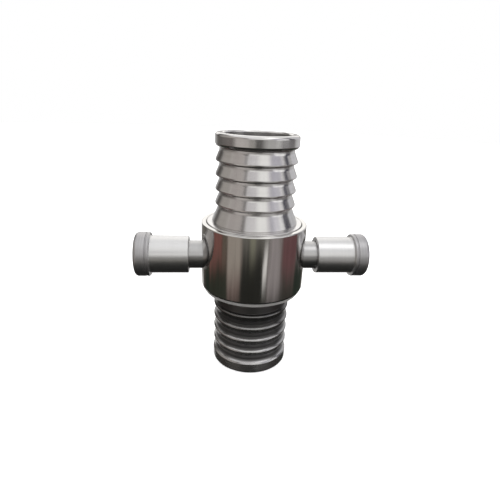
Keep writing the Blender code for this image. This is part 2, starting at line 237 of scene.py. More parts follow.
def carve(piece, cutters, operation="DIFFERENCE"):
    """Applies booleans at once, removes their cutters and welds what they leave."""
    for cutter in cutters:
        boolean = piece.modifiers.new("cut", "BOOLEAN")
        boolean.operation = operation
        boolean.object = cutter
        boolean.solver = "EXACT"
    bpy.context.view_layer.update()
    graph = bpy.context.evaluated_depsgraph_get()
    shaped = bpy.data.meshes.new_from_object(piece.evaluated_get(graph))
    piece.modifiers.clear()
    piece.data = shaped
    for cutter in cutters:
        bpy.data.objects.remove(cutter)
    form = bmesh.new()
    form.from_mesh(shaped)
    bmesh.ops.remove_doubles(form, verts=form.verts, dist=WELD)
    bmesh.ops.dissolve_degenerate(form, edges=form.edges, dist=WELD)
    form.to_mesh(shaped)
    form.free()


def swept(name, path, radius, sides):
    """Round wire along a path of points, closed at both ends."""
    path = [Vector(p) for p in path]
    points, faces = [], []
    up = Vector((0, 0, 1))
    tangent = (path[1] - path[0]).normalized()
    if abs(tangent.dot(up)) > 0.9:
        up = Vector((1, 0, 0))
    across = tangent.cross(up).normalized()
    for i, place in enumerate(path):
        before = path[max(i - 1, 0)]
        after = path[min(i + 1, len(path) - 1)]
        tangent = (after - before).normalized()
        across = (across - tangent * across.dot(tangent)).normalized()
        other = tangent.cross(across)
        for k in range(sides):
            turn = 2 * pi * k / sides
            points.append(place + across * (radius * cos(turn)) + other * (radius * sin(turn)))
    for i in range(len(path) - 1):
        for k in range(sides):
            n = (k + 1) % sides
            a, b = i * sides, (i + 1) * sides
            faces.append((a + k, a + n, b + n, b + k))
    last = (len(path) - 1) * sides
    faces.append(tuple(range(sides)))
    faces.append(tuple(last + k for k in reversed(range(sides))))
    return new_piece(name, points, faces)


# ---------------------------------------------------------------- materials

def new_material(name):
    material = bpy.data.materials.new(name)
    material.use_nodes = True
    return material, material.node_tree, material.node_tree.nodes["Principled BSDF"]


def feed(tree, socket, value):
    """Links a node or a socket to an input, or sets the input to a plain value."""
    if isinstance(value, bpy.types.Node):
        value = value.outputs[0]
    if isinstance(value, bpy.types.NodeSocket):
        tree.links.new(value, socket)
    elif socket.type == "RGBA" and len(value) == 3:
        socket.default_value = (*value, 1.0)
    else:
        socket.default_value = value


def node(tree, kind, **inputs):
    """Adds a node. A keyword is one of its settings, an input's name, or _ and its number."""
    made = tree.nodes.new(kind)
    for key, value in inputs.items():
        if hasattr(made, key) and key not in made.inputs:
            setattr(made, key, value)
            continue
        label = int(key[1:]) if key[0] == "_" and key[1:].isdigit() else key.replace("_", " ")
        feed(tree, made.inputs[label], value)
    return made


def maths(tree, operation, first, second=0.0, third=0.0, clamp=False):
    made = tree.nodes.new("ShaderNodeMath")
    made.operation = operation
    made.use_clamp = clamp
    for socket, value in zip(made.inputs, (first, second, third)):
        feed(tree, socket, value)
    return made


def fade(tree, value, start, end, first=0.0, last=1.0, smooth=False):
    """Goes from first to last while the value goes from start to end, and is level beyond."""
    made = tree.nodes.new("ShaderNodeMapRange")
    made.interpolation_type = "SMOOTHSTEP" if smooth else "LINEAR"
    for socket, given in zip(made.inputs, (value, start, end, first, last)):
        feed(tree, socket, given)
    return made.outputs[0]


def ramp(tree, source, stops):
    """A colour ramp from (position, colour) stops."""
    made = tree.nodes.new("ShaderNodeValToRGB")
    tree.links.new(source, made.inputs[0])
    elements = made.color_ramp.elements
    while len(elements) < len(stops):
        elements.new(0.5)
    for element, (position, colour) in zip(elements, stops):
        element.position = position
        element.color = (*colour, 1.0)
    return made.outputs[0]


def mixed(tree, factor, first, second):
    made = tree.nodes.new("ShaderNodeMix")
    made.data_type = "RGBA"
    for number, value in ((0, factor), (6, first), (7, second)):
        feed(tree, made.inputs[number], value)
    return made.outputs[2]


def coordinate(tree, place, axis):
    return node(tree, "ShaderNodeSeparateXYZ", Vector=place).outputs["xyz".index(axis)]


def stretched_noise(tree, place, scale, detail, roughness=0.5):
    """Noise whose scale is per metre, one for all axes or one for each."""
    scale = scale if hasattr(scale, "__len__") else (scale,) * 3
    mapping = node(tree, "ShaderNodeMapping", Vector=place, Scale=scale)
    return node(
        tree, "ShaderNodeTexNoise", Vector=mapping.outputs[0], Scale=1.0, Detail=detail,
        Roughness=roughness,
    ).outputs[0]


# Tool marks, blotches and pits to a metre, and how much wider than the marks the bands are
MARKS_ALONG, MARKS_AROUND = 2600.0, 45.0
BANDS_WIDER = 7
BLOTCH_SCALE, PIT_SCALE = 70.0, 2200.0

# How sharply the surface bends, above 0.5 outward and below it inward, where wear and the
# darkening in inside corners start and where they are full
WORN_BENDS = (0.505, 0.56)
CREASE_BENDS = (0.495, 0.44)
WEAR_BRIGHTENS = 1.18

# The knobs' duller rims, the darkening in inside corners, the painted shade in grooves, the
# painted shadow of the cup, and the dull line
RIM_ROUGHER = 0.10
RIM_DARK, RIM_LIGHT = (0.30, 0.295, 0.30), (0.56, 0.55, 0.56)
# Colour that inside corners are darkened towards, where the surface bends inward
CREASE_DARK = (0.06, 0.055, 0.05)
# Painted shade in the grooves of the lower tail, darkest at their roots
GROOVE_SHADE = (0.05, 0.048, 0.046)
GROOVE_FADE, GROOVE_COVER, GROOVE_ROUGHER = 1.3 * MM, 0.78, 0.15
# Painted shadow of the cup on the lower tail, deepening upward towards the cup
CUP_SHADOW = (0.10, 0.098, 0.096)
CUP_SHADOW_DEPTH, CUP_SHADOW_COVER = 26 * MM, 0.78
LINE_FADE_BELOW, LINE_FADE_ABOVE = 0.8 * MM, 1.0 * MM
LINE_ROUGHER, LINE_METALLIC = 0.42, -0.17


def steel(name, axis, tint, dark_tint, roughness, spread, marks_height, worn=0.12, grime=0.35,
          dull_beyond=None, dull_ring=None, dirty_within=None, stained_above=None):
    """Turned or polished metal. Tool marks run round the axis, edges are worn bright, and
    inside corners are darker.

    dull_beyond is how far out along X it turns duller, and dull_ring the lowest and highest Z
    of a dull line round it. The next option after them is the radius inside which its grooves
    get painted shade, and the last the Z where a painted shadow of the cup starts and deepens
    upward.
    """
    material, tree, shader = new_material(name)
    place = node(tree, "ShaderNodeTexCoord").outputs["Object"]
    fine = [MARKS_ALONG if letter == axis else MARKS_AROUND for letter in "xyz"]
    marks = stretched_noise(tree, place, fine, 3.0, 0.65)
    bands = stretched_noise(tree, place, [scale / BANDS_WIDER for scale in fine], 2.0)
    blotches = stretched_noise(tree, place, BLOTCH_SCALE, 4.0, 0.6)
    pitting = stretched_noise(tree, place, PIT_SCALE, 2.0)
    bend = node(tree, "ShaderNodeNewGeometry").outputs["Pointiness"]
    edge = fade(tree, bend, *WORN_BENDS)
    crease = fade(tree, bend, *CREASE_BENDS)

    colour = mixed(tree, bands, dark_tint, tint)
    colour = mixed(tree, maths(tree, "MULTIPLY", blotches, 0.35), colour, tint)
    bright = tuple(min(1.0, share * WEAR_BRIGHTENS) for share in tint)
    colour = mixed(tree, maths(tree, "MULTIPLY", edge, worn), colour, bright)
    # Darker and rougher in inside corners, where the surface bends inward
    colour = mixed(tree, maths(tree, "MULTIPLY", crease, grime), colour, CREASE_DARK)
    rough = maths(tree, "MULTIPLY_ADD", marks, spread, roughness - spread / 2)
    shader.inputs["Metallic"].default_value = 1.0
    if dull_beyond is not None:
        along = maths(tree, "ABSOLUTE", coordinate(tree, place, "x"))
        outside = maths(tree, "GREATER_THAN", along, dull_beyond)
        colour = mixed(tree, outside, colour, mixed(tree, marks, RIM_DARK, RIM_LIGHT))
        rough = maths(tree, "MULTIPLY_ADD", outside, RIM_ROUGHER, rough)
    # Painted shade in the grooves inside the given radius, where the steel is also rougher
    if dirty_within is not None:
        flat = node(tree, "ShaderNodeVectorMath", operation="MULTIPLY", _0=place, _1=(1, 1, 0))
        length = node(tree, "ShaderNodeVectorMath", operation="LENGTH", _0=flat)
        radius = length.outputs["Value"]
        shadiest = dirty_within - GROOVE_FADE
        groove = fade(tree, radius, dirty_within, shadiest, 0.0, GROOVE_COVER)
        colour = mixed(tree, groove, colour, GROOVE_SHADE)
        rough = maths(tree, "MULTIPLY_ADD", groove, GROOVE_ROUGHER, rough)
    # Painted shadow cast by the cup, darker on the lower tail the nearer the cup
    if stained_above is not None:
        height = coordinate(tree, place, "z")
        deepest = stained_above + CUP_SHADOW_DEPTH
        stain = fade(tree, height, stained_above, deepest, 0.0, CUP_SHADOW_COVER)
        colour = mixed(tree, stain, colour, CUP_SHADOW)
    if dull_ring is not None:
        height = coordinate(tree, place, "z")
        low, high = dull_ring
        over = fade(tree, height, low - LINE_FADE_BELOW, low)
        under = fade(tree, height, high, high + LINE_FADE_ABOVE, 1.0, 0.0)
        line = maths(tree, "MULTIPLY", under, over)
        rough = maths(tree, "MULTIPLY_ADD", line, LINE_ROUGHER, rough)
        metallic = maths(tree, "MULTIPLY_ADD", line, LINE_METALLIC, 1.0)
        feed(tree, shader.inputs["Metallic"], metallic)

    rough = maths(tree, "MULTIPLY_ADD", blotches, spread, rough)
    rough = maths(tree, "MULTIPLY_ADD", crease, 0.25 * grime, rough)
    rough = maths(tree, "MULTIPLY_ADD", edge, -spread * 0.5, rough, clamp=True)
    relief = maths(tree, "MULTIPLY_ADD", pitting, 0.15, marks)
    relief = maths(tree, "MULTIPLY_ADD", bands, 1.5, relief)
    bump = node(tree, "ShaderNodeBump", Height=relief, Distance=marks_height, Strength=1.0)
    feed(tree, shader.inputs["Base Color"], colour)
    feed(tree, shader.inputs["Roughness"], rough)
    feed(tree, shader.inputs["Normal"], bump)
    return material


def satin(name, axis, tint, dark_tint, roughness, spread, marks_height, anisotropy, **more):
    """Steel whose turning marks stretch its highlights across them."""
    material = steel(name, axis, tint, dark_tint, roughness, spread, marks_height, **more)
    tree = material.node_tree
    shader = tree.nodes["Principled BSDF"]
    shader.inputs["Anisotropic"].default_value = anisotropy
    shader.inputs["Anisotropic Rotation"].default_value = 0.25
    tangent = node(tree, "ShaderNodeTangent", direction_type="RADIAL", axis=axis.upper())
    feed(tree, shader.inputs["Tangent"], tangent)
    return material


def make_rubber():
    material, tree, shader = new_material("black_rubber")
    place = node(tree, "ShaderNodeTexCoord").outputs["Object"]
    grain = stretched_noise(tree, place, 1500.0, 3.0)
    bloom = stretched_noise(tree, place, 90.0, 3.0)
    colour = mixed(tree, bloom, (0.012, 0.012, 0.013), (0.035, 0.034, 0.033))
    bump = node(tree, "ShaderNodeBump", Height=grain, Distance=0.03 * MM, Strength=0.6)
    feed(tree, shader.inputs["Base Color"], colour)
    feed(tree, shader.inputs["Roughness"], maths(tree, "MULTIPLY_ADD", grain, 0.25, 0.58))
    feed(tree, shader.inputs["Normal"], bump)
    return material


DULL = (0.50, 0.495, 0.49)
polished = steel(
    "mirror_polish", "z", (0.64, 0.625, 0.605), (0.60, 0.595, 0.585), 0.085, 0.03,
    0.0006 * MM, worn=0.1, grime=0.2, dull_ring=(cup_low.z + 2.6 * MM, cup_low.z + 4.8 * MM),
)
tail_steel = satin(
    "turned_satin", "z", (0.66, 0.645, 0.64), (0.58, 0.57, 0.565), 0.17, 0.08,
    0.004 * MM, 0.6, grime=0.55,
)
# A darker copy of the turned satin for the lower tail: painted shade of the cup above it
shaded_tail_steel = satin(
    "shaded_tail_satin", "z", (0.51, 0.505, 0.505), (0.44, 0.435, 0.435), 0.22, 0.08,
    0.004 * MM, 0.6, grime=0.9, dirty_within=31.5 * MM, stained_above=30.0 * MM,
)
lug_steel = satin(
    "turned_lug", "x", (0.68, 0.675, 0.675), (0.60, 0.595, 0.595), 0.30, 0.08,
    0.005 * MM, 0.2, dull_beyond=85.2 * MM,
)
# A darker copy of the lug steel for the lug tubes: painted shade from the cup beside them
shaded_neck_steel = satin(
    "shaded_turned_neck", "x", (0.50, 0.495, 0.495), (0.43, 0.425, 0.425), 0.30, 0.08,
    0.005 * MM, 0.2,
)
stem_steel = satin(
    "ground_spindle", "x", (0.62, 0.62, 0.63), DULL, 0.22, 0.10, 0.003 * MM, 0.4
)
plain_steel = steel("fastener_steel", "x", (0.54, 0.54, 0.55), DULL, 0.30, 0.12, 0.004 * MM)
spring_steel = steel(
    "spring_wire", "x", (0.46, 0.46, 0.48), (0.36, 0.36, 0.38), 0.30, 0.12, 0.003 * MM
)
brass = steel(
    "turned_brass", "x", (0.74, 0.54, 0.24), (0.62, 0.43, 0.18), 0.28, 0.12, 0.005 * MM
)
rubber = make_rubber()


def use(piece, material, slot, body, *nodes):
    """Gives a piece its material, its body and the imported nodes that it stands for."""
    piece.data.materials.clear()
    piece.data.materials.append(material)
    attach(piece, body)
    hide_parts(*nodes)


# ---------------------------------------------------------------- bodies about the bore

def end_band(end_z, edge_z, taper, edge_round):
    """The rolled band on a tail's hose end, as corners from its end face inward."""
    away = 1 if end_z > edge_z else -1
    return [
        (END_R, end_z, END_ROUND),
        (END_R, edge_z + away * taper, BROAD),
        (BAND_EDGE_R, edge_z, edge_round),
    ]


def root(edge, root_r):
    """The foot of a step under an edge, then the narrow land that curves into the next cone."""
    low = edge - BARB_STEP
    return [(root_r, low, BARB_ROOT), (root_r + 0.1 * MM, low - ROOT_LAND, ROOT_BEND)]


def sharp_serrations(edge_z):
    """The upper tail's serrations, as corners from its end band down, ending in the last root."""
    corners = root(edge_z + BARB_PITCH, ROOT_R)
    for i in range(BARBS):
        edge = edge_z - i * BARB_PITCH
        corners.append((EDGE_R, edge + BARB_LAND, BARB_EDGE))
        corners.append((EDGE_R, edge, BARB_EDGE))
        corners += root(edge, ROOT_R if i < BARBS - 1 else NECK_R)
    return corners


def worn_serrations(edge_z):
    """The lower tail's serrations, whose edges are well rounded, as corners from its neck down."""
    corners = []
    for i in reversed(range(BARBS)):
        edge = edge_z + i * BARB_PITCH
        root_r = ROOT_R if i < BARBS - 1 else NECK_R
        corners.append((root_r, edge + WORN_STEP, WORN_ROOT))
        corners.append((WORN_EDGE_R, edge, WORN_EDGE))
    corners.append((ROOT_R, edge_z - BARB_PITCH + WORN_STEP, WORN_ROOT))
    return corners


def make_upper_tail():
    top = male_high.z
    bottom = male_low.z
    edge = top - UPPER_BAND
    flare_base, collar_top = 129.0 * MM, 127.7 * MM
    collar_r = 38.8 * MM
    base_r = 34.7 * MM
    groove_r = 33.2 * MM
    nose_r = 34.0 * MM
    collar_low, ring_top, ring_low = 112.9 * MM, 92.9 * MM, 86.6 * MM
    ring_bevel = 2.2 * MM
    corners = end_band(top, edge, BAND_TAPER, 0.35 * MM)
    corners += sharp_serrations(edge - BARB_PITCH)
    corners += [
        (base_r, flare_base, EASED),
        (base_r, collar_top, CRISP),
        (collar_r, collar_top, 0.35 * MM),
        (collar_r, collar_low, FINE),
        (groove_r, collar_low, SOFT),
        (groove_r, ring_top, SOFT),
        (collar_r, ring_top, FINE),
        (collar_r, ring_low + ring_bevel, SOFT),
        (collar_r - ring_bevel, ring_low, SOFT),
        (nose_r, ring_low, FINE),
        (nose_r, bottom, BROAD),
        (BORE_R, bottom, FINE),
        (BORE_R, top - MOUTH_FLARE, 1.0 * MM),
        (BORE_R + MOUTH_FLARE, top, 0.4 * MM),
    ]
    piece = finished(lathe("upper_hose_tail", rounded(corners), BODY_STEPS))
    use(piece, tail_steel, "turned_steel", "male_half", "male_body")


def make_lower_tail():
    head_r = 33.7 * MM
    corners = [
        (BORE_R, tail_high.z, FINE),
        (head_r, tail_high.z, FINE),
        (head_r, cup_low.z + 0.1 * MM, HAIR),
        (NECK_R, cup_low.z - 0.2 * MM, CRISP),
    ]
    corners += worn_serrations(LOWER_BAND + WORN_LIFT + BARB_PITCH)
    corners += list(reversed(end_band(0, LOWER_BAND + WORN_LIFT, 1.3 * MM, 1.2 * MM)))
    corners += [(BORE_R + MOUTH_FLARE, 0, 0.4 * MM), (BORE_R, MOUTH_FLARE, 1.0 * MM)]
    piece = finished(lathe("lower_hose_tail", rounded(corners), BODY_STEPS))
    use(piece, shaded_tail_steel, "turned_steel", "female_half", "female_tail")


def make_cup():
    wall_r = cup_high.y
    top, bottom = cup_high.z, cup_low.z
    mouth_r = 39.2 * MM
    seat_z, seat_r = 74.8 * MM, 37.3 * MM
    lip_r, floor_z = 35.0 * MM, 84.9 * MM
    lip_low = floor_z - 2.0 * MM
    hole_r, lug_hole_r = 34.0 * MM, 12.1 * MM
    corners = [
        (mouth_r + 0.5 * MM, top, CRISP),
        (wall_r, top, 0.9 * MM),
        (wall_r, bottom + 6.6 * MM, BROAD),
        (wall_r - 0.9 * MM, bottom + 4.2 * MM, 2.0 * MM),
        (wall_r - 2.6 * MM, bottom + 1.4 * MM, 2.4 * MM),
        (wall_r - 5.6 * MM, bottom, 2.4 * MM),
        (hole_r, bottom, FINE),
        (hole_r, seat_z, HAIR),
        (seat_r, seat_z, FINE),
        (seat_r, lip_low, FINE),
        (lip_r, lip_low, FINE),
        (lip_r, floor_z, FINE),
        (mouth_r, floor_z, 0.35 * MM),
        (mouth_r, top - 0.5 * MM, CRISP),
    ]
    piece = lathe("coupling_cup", rounded(corners), BODY_STEPS)
    cutters = []
    for side in SIDES.values():
        cutter = rod_cutter(lug_hole_r, 33.0 * MM, 60.0 * MM, steps=LUG_STEPS)
        cutters.append(along_lug(cutter, side))
    carve(piece, cutters)
    use(finished(piece), polished, "polished_steel", "female_half", "female_cup")


def make_seal():
    outer_r, lip_r, inner_r = seal_high.y, 34.5 * MM, 27.6 * MM
    top, bottom = seal_high.z, seal_low.z
    flange_top, lip_bevel = 79.1 * MM, 0.8 * MM
    corners = [
        (outer_r, top, 0.4 * MM),
        (outer_r, bottom, EASED),
        (inner_r, bottom, SOFT),
        (inner_r, flange_top, SOFT),
        (lip_r, flange_top, 0.4 * MM),
        (lip_r, top - lip_bevel, EASED),
        (lip_r + lip_bevel, top, EASED),
    ]
    piece = finished(lathe("rubber_seal", rounded(corners), BODY_STEPS))
    use(piece, rubber, "rubber", "female_half", "sealing_washer")


# ---------------------------------------------------------------- lugs

def make_knob(name, side):
    outer, inner = knob_high.x, knob_low.x
    rim_r, sleeve_r, sleeve_bore = knob_high.y, 15.6 * MM, 12.25 * MM
    rim_in = 84.8 * MM
    recess_r, recess_floor = 9.6 * MM, 87.5 * MM
    stem_hole = 3.85 * MM
    web_in = 80.3 * MM
    groove_at, groove_deep, groove_top, groove_floor = 87.4 * MM, 0.55 * MM, 0.6 * MM, 0.3 * MM
    corners = [
        (recess_r, outer, 0.6 * MM),
        (rim_r, outer, 3.0 * MM),
        (rim_r, groove_at + groove_top, CRISP),
        (rim_r - groove_deep, groove_at + groove_floor, CRISP),
        (rim_r - groove_deep, groove_at - groove_floor, CRISP),
        (rim_r, groove_at - groove_top, CRISP),
        (rim_r, rim_in, BROAD),
        (sleeve_r, rim_in, 0.6 * MM),
        (sleeve_r, inner, 0.55 * MM),
        (sleeve_bore, inner, 0.4 * MM),
        (sleeve_bore, web_in, FINE),
        (stem_hole, web_in, FINE),
        (stem_hole, recess_floor, FINE),
        (recess_r, recess_floor, 0.7 * MM),
    ]
    piece = along_lug(lathe(f"{name}_pull_cap", rounded(corners), LUG_STEPS), side)
    use(finished(piece), lug_steel, "turned_steel", f"{name}_release", f"{name}_pull_knob")


def make_lug_tube(name, side):
    outer, inner = housing_high.x, housing_low.x
    tube_r, bore_r, lip_r = housing_high.y, 8.0 * MM, 5.5 * MM
    lip = 2.4 * MM
    corners = [
        (lip_r, outer, FINE),
        (tube_r, outer, 0.6 * MM),
        (tube_r, inner, FINE),
        (bore_r, inner, FINE),
        (bore_r, outer - lip, FINE),
        (lip_r, outer - lip, FINE),
    ]
    piece = along_lug(lathe(f"{name}_lug_tube", rounded(corners), LUG_STEPS), side)
    screw_hole_r = 2.3 * MM
    hole = rod_cutter(
        screw_hole_r, bore_r / 2, tube_r + 0.05 * MM, bevel=0.35 * MM, steps=SCREW_STEPS
    )
    hole.data.transform(Matrix.Rotation(pi, 4, "X"))
    hole.location = (side * SCREW_X, 0, LUG_Z)
    carve(piece, [hole])
    use(finished(piece), shaded_neck_steel, "turned_steel", "female_half", f"{name}_housing")


def make_bush(name, side):
    outer, inner = bush_high.x, bush_low.x
    nose_r, body_r, bore_r = 5.2 * MM, bush_high.y, 3.85 * MM
    flange_end = 77.3 * MM
    corners = [
        (nose_r, outer, FINE),
        (nose_r, flange_end, FINE),
        (body_r, flange_end, FINE),
        (body_r, inner, FINE),
        (bore_r, inner, EASED),
        (bore_r, outer, EASED),
    ]
    piece = along_lug(lathe(f"{name}_brass_bush", rounded(corners), SMALL_STEPS), side)
    use(finished(piece), brass, "brass", "female_half", f"{name}_guide_bush")


def make_guide_screw(name, side):
    """A dog-point screw with a slotted head, upright under the tube."""
    dog_r, screw_r = 1.2 * MM, 2.0 * MM
    dog_low, shank_top = -7.9 * MM, -8.7 * MM
    slot_half, slot_deep, slot_reach = 0.3 * MM, 0.7 * MM, 3 * MM
    head_z, tip_z = screw_low.z - LUG_Z, screw_high.z - LUG_Z
    corners = [
        (0, tip_z, 0),
        (dog_r, tip_z, CRISP),
        (dog_r, dog_low, HAIR),
        (screw_r, shank_top, HAIR),
        (screw_r, head_z, FINE),
        (0, head_z, 0),
    ]
    piece = lathe(f"{name}_stop_screw", rounded(corners), SCREW_STEPS)
    slot = box_cutter(
        (-slot_reach, -slot_half, head_z - MM), (slot_reach, slot_half, head_z + slot_deep)
    )
    carve(piece, [slot])
    piece.location = (side * SCREW_X, 0, LUG_Z)
    use(finished(piece), plain_steel, "plain_steel", "female_half", f"{name}_guide_screw")


def make_spindle(name, side):
    """The plunger: a toothed head, a ground spindle and a cut thread under the nut."""
    tip, end = plunger_low.x, plunger_high.x
    head_r, stem_r, thread_r = 7.6 * MM, 3.5 * MM, 3.0 * MM
    shoulder, thread_start = 52.6 * MM, 87.4 * MM
    pitch, depth, rows_per_turn = 1.0 * MM, 0.5 * MM, 8
    flank, crest = 1.2, 0.1
    chamfer = 0.6 * MM
    outline = rounded([
        (0, end, 0),
        (thread_r - chamfer, end, 0.15 * MM),
        (thread_r, end - chamfer, 0),
    ])
    length = end - chamfer - thread_start
    rows = round(length / (pitch / rows_per_turn))
    step = length / rows
    outline += [(thread_r, end - chamfer - step * i) for i in range(1, rows + 1)]
    outline += rounded([
        (stem_r, thread_start, EASED),
        (stem_r, shoulder, EASED),
        (head_r, shoulder, EASED),
        (head_r, tip, FINE),
        (0, tip, 0),
    ])

    def thread(r, z, turn):
        if abs(r - thread_r) > MM / 1000 or z < thread_start + pitch / 4:
            return r
        phase = z / pitch - turn / (2 * pi)
        share = abs(2 * (phase - floor(phase)) - 1)
        run_out = min(1, (end - z) / pitch, (z - thread_start) / pitch)
        return r - depth * run_out * min(1, max(0, flank * share - crest))

    piece = lathe(f"{name}_spindle", outline, SMALL_STEPS, thread)
    reach = 3 * head_r
    flat_at, tooth_end, nose = 4.5 * MM, 40.4 * MM, 1.0 * MM
    slot_floor, slot_half, slot_low, slot_high = 5.9 * MM, 1.6 * MM, 40.0 * MM, 50.2 * MM
    pin_hole_r = 1.06 * MM
    flat = box_cutter((flat_at, -reach, tip - reach), (reach, reach, tooth_end))
    slot = box_cutter((slot_floor, -slot_half, slot_low), (reach, slot_half, slot_high))
    slope = box_cutter((-reach, -reach, -2 * reach), (reach, reach, 0))
    slope.data.transform(Matrix.Rotation(pi / 4, 4, "Y"))
    slope.data.transform(Matrix.Translation((-nose, 0, tip)))
    if side < 0:
        for cutter in (flat, slot, slope):
            cutter.data.transform(Matrix.Diagonal((-1, 1, 1, 1)))
            cutter.data.flip_normals()
    hole = rod_cutter(pin_hole_r, -5 * MM, 5 * MM, steps=PIN_HOLE_STEPS)
    hole.data.transform(Matrix.Rotation(pi / 2, 4, "X"))
    hole.data.transform(Matrix.Translation((0, 0, PIN_X)))
    carve(piece, [flat, slope, slot, hole])
    along_lug(piece, side)
    use(finished(piece), stem_steel, "turned_steel", f"{name}_release", f"{name}_plunger")


def make_washer(name, side):
    inner, outer, hole_r = washer_low.x, washer_high.x, 3.3 * MM
    corners = [
        (hole_r, outer, HAIR),
        (washer_high.y, outer, EASED),
        (washer_high.y, inner, HAIR),
        (hole_r, inner, HAIR),
    ]
    piece = along_lug(lathe(f"{name}_flat_washer", rounded(corners), SMALL_STEPS), side)
    use(finished(piece), plain_steel, "plain_steel", f"{name}_release", f"{name}_knob_washer")


def make_nut(name, side):
    """A hexagon nut whose corners are cut by a cone on both faces."""
    inner, outer, hole_r = nut_low.x, nut_high.x, 3.3 * MM
    flats, bevel, cone_deep, cone_out = 5.0 * MM, 0.35 * MM, 0.9 * MM, 0.6 * MM
    sides, steps_per_side = 6, 12
    corner_r = flats / cos(pi / sides)
    outline = rounded([
        (hole_r + bevel, outer, 0),
        (flats - HAIR, outer, HAIR),
        (corner_r + cone_out, outer - cone_deep, 0),
        (corner_r + cone_out, inner + cone_deep, 0),
        (flats - HAIR, inner, HAIR),
        (hole_r + bevel, inner, 0),
        (hole_r, inner + bevel, 0),
        (hole_r, outer - bevel, 0),
    ])
    piece = lathe(f"{name}_hex_nut", outline, sides * steps_per_side)
    form = bmesh.new()
    bmesh.ops.create_cone(
        form, cap_ends=True, segments=sides, radius1=corner_r, radius2=corner_r, depth=20 * MM,
        matrix=Matrix.Translation((0, 0, (inner + outer) / 2)),
    )
    carve(piece, [placed("cutter", form)], "INTERSECT")
    along_lug(piece, side)
    use(finished(piece), plain_steel, "plain_steel", f"{name}_release", f"{name}_knob_nut")


def make_pin(name, side):
    """A split pin: doubled wire with an eye at one end and spread tails at the other."""
    split, leg, eye_r, wire_r = 0.42 * MM, 4.6 * MM, 1.5 * MM, 0.34 * MM
    eye_steps, wire_sides = 32, 16
    mouth = asin(split / eye_r)
    centre = -leg - eye_r * cos(mouth)
    eye = []
    for i in range(eye_steps + 1):
        turn = mouth + (2 * pi - 2 * mouth) * i / eye_steps
        eye.append((-eye_r * sin(turn), centre + eye_r * cos(turn)))
    tail = [(-1.6 * MM, leg + 1.0 * MM), (-1.0 * MM, leg + 0.5 * MM), (-split - 0.1 * MM, leg)]
    path = tail + [(-split, leg - 0.5 * MM)] + eye
    path += [(split, leg - 0.5 * MM)] + [(-x, y) for x, y in reversed(tail)]
    points = [(x, y, PIN_X) for x, y in path]
    piece = swept(f"{name}_cotter", points, wire_r, wire_sides)
    along_lug(piece, side)
    use(finished(piece), plain_steel, "plain_steel", f"{name}_release", f"{name}_split_pin")


def make_coil(name, side):
    """The spring, which on the coupling shortens towards its bush as the knob is pulled; here it
    is built at one length.
    """
    wire_r, coil_r = 0.75 * MM, 6.0 * MM
    turns, closed, per_turn, wire_sides = 7, 1, 40, 14
    start, end = 53.65 * MM, 72.95 * MM
    tight = 1.6 * MM
    open_pitch = (end - start - 2 * closed * tight) / (turns - 2 * closed)
    path = []
    for i in range(turns * per_turn + 1):
        turn = i / per_turn
        first = min(turn, closed) * tight
        middle = max(0, min(turn - closed, turns - 2 * closed)) * open_pitch
        last = max(0, turn - turns + closed) * tight
        a = 2 * pi * turn
        path.append((coil_r * cos(a), coil_r * sin(a), start + first + middle + last))
    piece = along_lug(swept(f"{name}_coil", path, wire_r, wire_sides), side)
    use(finished(piece), spring_steel, "spring_steel", "female_half", f"{name}_spring")
    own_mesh(piece)


make_upper_tail()
make_lower_tail()
make_cup()
make_seal()
for side_name, direction in SIDES.items():
    make_lug_tube(side_name, direction)
    make_knob(side_name, direction)
    make_bush(side_name, direction)
    make_guide_screw(side_name, direction)
    make_spindle(side_name, direction)
    make_washer(side_name, direction)
    make_nut(side_name, direction)
    make_pin(side_name, direction)
    make_coil(side_name, direction)


# ---------------------------------------------------------------- camera, floor and light

def make_camera():
    """Stands in front of the coupling and a little to its left, looking down at it."""
    place = (-0.0324, -0.3147, 0.2209)
    heading, pitch, roll = radians(6.63), radians(20.73), radians(2.67)
    forward = Vector((sin(heading) * cos(pitch), cos(heading) * cos(pitch), -sin(pitch)))
    right = Vector((cos(heading), -sin(heading), 0))
    up = right.cross(forward)
    across = right * cos(roll) + up * sin(roll)
    lift = up * cos(roll) - right * sin(roll)
    turn = Matrix((across, lift, -forward)).transposed().to_4x4()
    data = bpy.data.cameras.new("camera")
    data.lens = 28.66
    data.sensor_width = 36.0
    data.shift_x = -0.0159
    data.shift_y = 0.0016
    data.clip_start = 0.01
    camera = bpy.data.objects.new("camera", data)
    camera.matrix_world = Matrix.Translation(place) @ turn
    bpy.context.scene.collection.objects.link(camera)
    bpy.context.scene.camera = camera


def make_floor():
    form = bmesh.new()
    bmesh.ops.create_circle(form, cap_ends=True, segments=96, radius=3.0)
    floor_piece = placed("floor", form)
    material, tree, shader = new_material("pale_floor")
    place = node(tree, "ShaderNodeTexCoord").outputs["Object"]
    mottle = stretched_noise(tree, place, 9.0, 3.0)
    colour = mixed(tree, mottle, (0.86, 0.86, 0.86), (0.88, 0.88, 0.88))
    feed(tree, shader.inputs["Base Color"], colour)
    shader.inputs["Roughness"].default_value = 0.9
    shader.inputs["Specular IOR Level"].default_value = 0.1
    shader.inputs["Emission Color"].default_value = (1.0, 1.0, 1.0, 1.0)
    shader.inputs["Emission Strength"].default_value = 0.4
    floor_piece.data.materials.append(material)
    floor_piece.visible_glossy = False


# Reflected surroundings, as display values: elevation in degrees, then colour
SKY = [
    (-90, (0.10, 0.10, 0.10)),
    (-43, (0.12, 0.12, 0.11)),
    (-28, (0.17, 0.17, 0.155)),
    (-24, (0.25, 0.235, 0.22)),
    (-20, (0.34, 0.33, 0.31)),
    (-6, (0.38, 0.37, 0.36)),
    (3, (0.44, 0.43, 0.42)),
    (9, (0.56, 0.55, 0.54)),
    (15, (0.74, 0.73, 0.72)),
    (34, (0.80, 0.795, 0.79)),
    (50, (0.84, 0.84, 0.84)),
    (90, (0.84, 0.84, 0.84)),
]
